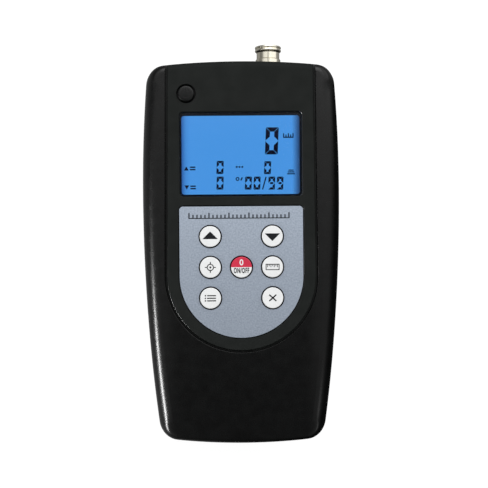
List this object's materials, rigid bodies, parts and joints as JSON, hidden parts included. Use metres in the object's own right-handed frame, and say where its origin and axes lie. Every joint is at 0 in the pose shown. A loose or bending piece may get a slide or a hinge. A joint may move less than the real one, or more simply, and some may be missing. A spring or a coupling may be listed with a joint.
{
  "type": "coating thickness gauge",
  "caption": "Handheld coating thickness gauge: waisted black case, backlit display, round keys, power button, threaded probe socket on the top end and a sliding battery door.",
  "frame": {"origin": "on the back of the case, under the middle of the whole gauge's box, socket included", "axes": "+Z out of the front face, +Y along the case towards the probe socket, +X to the right seen from the front"},
  "size_m": [0.0826, 0.1672, 0.0329],
  "materials": {
    "black_case": "fine satin moulded texture",
    "silver_label": "printed film with a fine metallic grain",
    "clear_window": "clear polished lens",
    "blue_display": "backlit liquid crystal display",
    "white_plastic": "plain moulded",
    "white_key": "smooth key cap with a dark symbol",
    "red_key": "smooth key cap, upper half red and lower half white",
    "black_button": "smooth button with a power symbol",
    "nickel": "nickel plated and turned",
    "dark_insulator": "moulded insulator",
    "board_green": "solder mask",
    "chip_black": "moulded package",
    "grey_rubber": "moulded silicone",
    "spring_steel": "nickel plated spring steel",
    "screw_steel": "zinc plated",
    "cell_sleeve": "plain dark printed sleeve"
  },
  "bodies": {
    "housing": {"front_cover": "black_case", "rear_cover": "black_case", "panel_label": "silver_label", "display_window": "clear_window", "socket_shell": "nickel", "lcd_glass": "blue_display", "lcd_backlight": "white_plastic", "lcd_frame": "white_plastic", "zebra_strip": "grey_rubber", "circuit_board": "board_green", "controller_chip": "chip_black", "signal_chip": "chip_black", "buzzer": "chip_black", "key_mat": "grey_rubber", "power_mat": "grey_rubber", "socket_insert": "dark_insulator", "socket_washer": "nickel", "socket_nut": "nickel", "battery_1": "cell_sleeve", "battery_2": "cell_sleeve", "battery_3": "cell_sleeve", "battery_4": "cell_sleeve", "contact_top_left": "spring_steel", "contact_top_middle": "spring_steel", "contact_top_right": "spring_steel", "contact_bottom_left": "spring_steel", "contact_bottom_right": "spring_steel", "case_screw_1": "screw_steel", "case_screw_2": "screw_steel", "case_screw_3": "screw_steel", "case_screw_4": "screw_steel", "board_screw_1": "screw_steel", "board_screw_2": "screw_steel", "board_screw_3": "screw_steel", "board_screw_4": "screw_steel"},
    "key_up": {"key_up": "white_key"},
    "key_down": {"key_down": "white_key"},
    "key_calibrate": {"key_calibrate": "white_key"},
    "key_zero": {"key_zero": "red_key"},
    "key_unit": {"key_unit": "white_key"},
    "key_read": {"key_read": "white_key"},
    "key_delete": {"key_delete": "white_key"},
    "power_button": {"power_button": "black_button"},
    "battery_door": {"battery_door": "black_case"}
  },
  "joints": [
    {"name": "press_key_up", "type": "slide", "parent": "housing", "child": "key_up", "axis": [0, 0, -1], "range_m": [0, 0.0006], "stiffness_N_per_m": 400, "springref_m": -0.001},
    {"name": "press_key_down", "type": "slide", "parent": "housing", "child": "key_down", "axis": [0, 0, -1], "range_m": [0, 0.0006], "stiffness_N_per_m": 400, "springref_m": -0.001},
    {"name": "press_key_calibrate", "type": "slide", "parent": "housing", "child": "key_calibrate", "axis": [0, 0, -1], "range_m": [0, 0.0006], "stiffness_N_per_m": 400, "springref_m": -0.001},
    {"name": "press_key_zero", "type": "slide", "parent": "housing", "child": "key_zero", "axis": [0, 0, -1], "range_m": [0, 0.0006], "stiffness_N_per_m": 400, "springref_m": -0.001},
    {"name": "press_key_unit", "type": "slide", "parent": "housing", "child": "key_unit", "axis": [0, 0, -1], "range_m": [0, 0.0006], "stiffness_N_per_m": 400, "springref_m": -0.001},
    {"name": "press_key_read", "type": "slide", "parent": "housing", "child": "key_read", "axis": [0, 0, -1], "range_m": [0, 0.0006], "stiffness_N_per_m": 400, "springref_m": -0.001},
    {"name": "press_key_delete", "type": "slide", "parent": "housing", "child": "key_delete", "axis": [0, 0, -1], "range_m": [0, 0.0006], "stiffness_N_per_m": 400, "springref_m": -0.001},
    {"name": "press_power_button", "type": "slide", "parent": "housing", "child": "power_button", "axis": [0, 0, -1], "range_m": [0, 0.0006], "stiffness_N_per_m": 400, "springref_m": -0.001},
    {"name": "slide_battery_door", "type": "slide", "parent": "housing", "child": "battery_door", "axis": [0, -1, 0], "range_m": [0, 0.056]}
  ]
}
